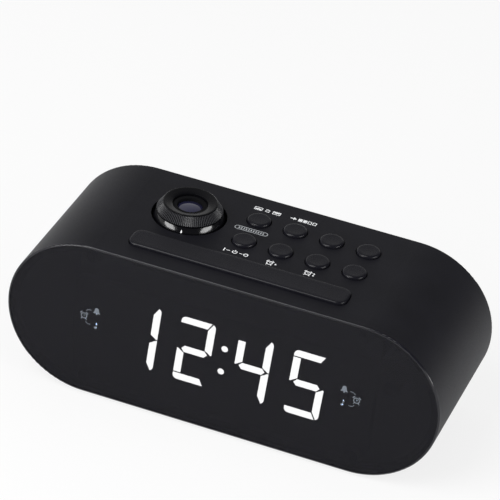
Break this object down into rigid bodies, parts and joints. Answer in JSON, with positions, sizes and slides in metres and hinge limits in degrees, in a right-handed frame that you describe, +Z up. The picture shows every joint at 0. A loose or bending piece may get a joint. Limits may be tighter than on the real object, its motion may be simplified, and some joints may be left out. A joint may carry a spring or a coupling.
{
  "type": "projection alarm clock",
  "caption": "Black projection alarm clock with an obround case, smoked display window, top buttons, a snooze bar and a tilting projector with a ribbed focus wheel.",
  "frame": {"origin": "middle of the footprint on the table, under the feet", "axes": "+X to the viewer's right, +Y to the back, +Z up; the display faces -Y"},
  "size_m": [0.18, 0.067, 0.0754],
  "materials": {
    "case_black": "fine matte",
    "smoked_window": "smoked acrylic",
    "inner_black": "matte",
    "lit_digits": "lit white",
    "unlit_digits": "dark diffuser",
    "indicators": "dim diffuser",
    "steel": "zinc plated",
    "dark_steel": "blackened",
    "circuit_board": "green solder mask",
    "cover_black": "fine matte",
    "speaker_paper": "paper cone",
    "magnet": "ferrite",
    "rubber_black": "matte rubber",
    "chip_black": "epoxy",
    "capacitor_can": "sleeved can",
    "jack_black": "moulded",
    "key_black": "satin",
    "ball_black": "gloss",
    "wheel_black": "satin",
    "lamp_red": "tinted epoxy",
    "display_glass": "liquid crystal cell",
    "lens_glass": "coated"
  },
  "bodies": {
    "case": {"case_sleeve": "case_black", "rubber_feet": "rubber_black", "front_window": "smoked_window", "display_frame": "inner_black", "lit_segments": "lit_digits", "unlit_segments": "unlit_digits", "indicator_guides": "indicators", "display_frame_screws": "steel", "display_board": "circuit_board", "rear_cover": "cover_black", "rear_cover_screws": "dark_steel", "speaker_frame": "steel", "speaker_cone": "speaker_paper", "speaker_magnet": "magnet", "aerial_gland": "rubber_black", "main_board": "circuit_board", "main_board_screws": "steel", "clock_chip": "chip_black", "capacitors": "capacitor_can", "power_jack": "jack_black", "cell_holder": "inner_black", "backup_cell": "steel", "key_switches": "chip_black", "key_board": "circuit_board", "key_board_screws": "steel", "projector_socket": "inner_black", "socket_screws": "steel"},
    "battery_door": {"battery_door": "cover_black"},
    "snooze": {"snooze_bar": "key_black", "snooze_plungers": "inner_black"},
    "flip_key": {"flip_button": "key_black", "flip_plunger": "inner_black"},
    "memory_key": {"memory_button": "key_black", "memory_plunger": "inner_black"},
    "up_key": {"up_button": "key_black", "up_plunger": "inner_black"},
    "down_key": {"down_button": "key_black", "down_plunger": "inner_black"},
    "projection_key": {"projection_button": "key_black", "projection_plunger": "inner_black"},
    "alarm_one_key": {"alarm_one_button": "key_black", "alarm_one_plunger": "inner_black"},
    "alarm_two_key": {"alarm_two_button": "key_black", "alarm_two_plunger": "inner_black"},
    "light_key": {"light_button": "key_black", "light_plunger": "inner_black"},
    "collar": {"swivel_collar": "inner_black"},
    "projector": {"projector_ball": "ball_black", "projector_cap": "inner_black", "projection_lamp": "lamp_red", "projection_display": "display_glass"},
    "focus": {"focus_wheel": "wheel_black"},
    "lens": {"lens_barrel": "inner_black", "projection_lens": "lens_glass"}
  },
  "joints": [
    {"name": "flip_press", "type": "slide", "parent": "case", "child": "flip_key", "axis": [0, 0, -1], "range_m": [0, 0.0005], "stiffness_N_per_m": 2500},
    {"name": "memory_press", "type": "slide", "parent": "case", "child": "memory_key", "axis": [0, 0, -1], "range_m": [0, 0.0005], "stiffness_N_per_m": 2500},
    {"name": "up_press", "type": "slide", "parent": "case", "child": "up_key", "axis": [0, 0, -1], "range_m": [0, 0.0005], "stiffness_N_per_m": 2500},
    {"name": "down_press", "type": "slide", "parent": "case", "child": "down_key", "axis": [0, 0, -1], "range_m": [0, 0.0005], "stiffness_N_per_m": 2500},
    {"name": "projection_press", "type": "slide", "parent": "case", "child": "projection_key", "axis": [0, 0, -1], "range_m": [0, 0.0005], "stiffness_N_per_m": 2500},
    {"name": "alarm_one_press", "type": "slide", "parent": "case", "child": "alarm_one_key", "axis": [0, 0, -1], "range_m": [0, 0.0005], "stiffness_N_per_m": 2500},
    {"name": "alarm_two_press", "type": "slide", "parent": "case", "child": "alarm_two_key", "axis": [0, 0, -1], "range_m": [0, 0.0005], "stiffness_N_per_m": 2500},
    {"name": "light_press", "type": "slide", "parent": "case", "child": "light_key", "axis": [0, 0, -1], "range_m": [0, 0.0005], "stiffness_N_per_m": 2500},
    {"name": "snooze_press", "type": "slide", "parent": "case", "child": "snooze", "axis": [0, 0, -1], "range_m": [0, 0.0006], "stiffness_N_per_m": 3000},
    {"name": "battery_door_turn", "type": "hinge", "parent": "case", "child": "battery_door", "pos_m": [0.02, 0.005, 0.0015], "axis": [0, 0, 1], "range_deg": [0, 90]},
    {"name": "projector_swivel", "type": "hinge", "parent": "case", "child": "collar", "pos_m": [-0.032, 0.007, 0.0642], "axis": [0, 0, 1], "range_deg": [-90, 90]},
    {"name": "projector_tilt", "type": "hinge", "parent": "collar", "child": "projector", "pos_m": [-0.032, 0.007, 0.0642], "axis": [1, 0, 0], "range_deg": [-15, 15]},
    {"name": "focus_turn", "type": "hinge", "parent": "projector", "child": "focus", "pos_m": [-0.032, 0.007, 0.0642], "axis": [0, 0, 1], "range_deg": [-60, 60]},
    {"name": "lens_slide", "type": "slide", "parent": "projector", "child": "lens", "axis": [0, 0, 1], "range_m": [-0.001, 0.001]}
  ],
  "couplings": [
    {"joint": "focus_turn", "follows": "lens_slide", "rad_per_m": 1047}
  ]
}
